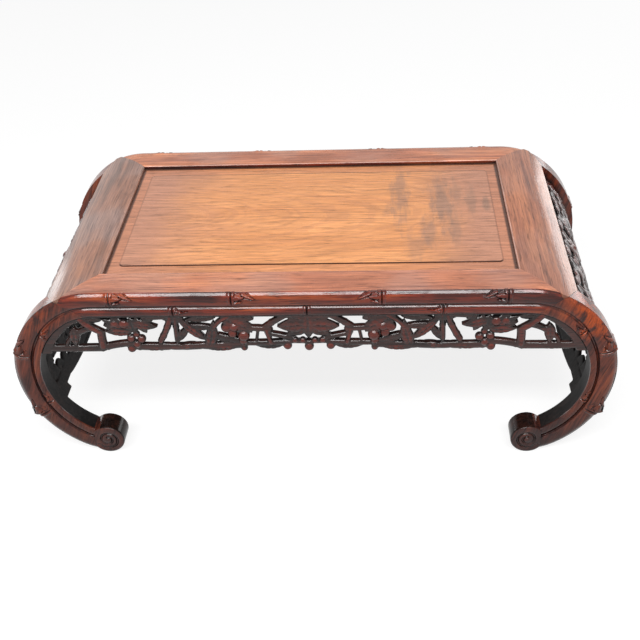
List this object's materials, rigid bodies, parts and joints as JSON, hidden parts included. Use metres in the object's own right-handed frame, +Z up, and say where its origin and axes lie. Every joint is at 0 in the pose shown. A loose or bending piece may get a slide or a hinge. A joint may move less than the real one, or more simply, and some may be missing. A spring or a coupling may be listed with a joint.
{
  "type": "kang table",
  "caption": "Low hardwood kang table: framed panel top, ends rolled down into C-curved legs with scroll feet, bamboo mouldings and pierced grapevine aprons.",
  "frame": {"origin": "on the floor under the middle of the table", "axes": "+X along the table, -Y to its front, +Z up"},
  "size_m": [0.914, 0.454, 0.3105],
  "materials": {
    "frame": "polished reddish brown hardwood",
    "panel": "polished golden brown hardwood",
    "moulding": "polished dark red brown hardwood",
    "carving": "polished dark carved hardwood",
    "leg": "polished dark red brown hardwood",
    "hidden": "plain unpolished hardwood"
  },
  "bodies": {
    "root": {"top_front_rail": "frame", "top_rear_rail": "frame", "top_left_end": "frame", "top_right_end": "frame", "top_panel": "panel", "panel_batten_left": "hidden", "panel_batten_centre": "hidden", "panel_batten_right": "hidden", "front_bead_rail": "moulding", "rear_bead_rail": "moulding", "front_apron": "carving", "rear_apron": "carving", "left_end_panel": "carving", "right_end_panel": "carving", "leg_front_left": "leg", "leg_front_right": "leg", "leg_rear_left": "leg", "leg_rear_right": "leg", "scroll_foot_front_left": "leg", "scroll_foot_front_right": "leg", "scroll_foot_rear_left": "leg", "scroll_foot_rear_right": "leg", "mitre_dowels": "hidden", "leg_head_dowels": "hidden", "scroll_foot_dowels": "hidden", "apron_pins": "hidden", "end_panel_pins": "hidden"}
  },
  "joints": []
}
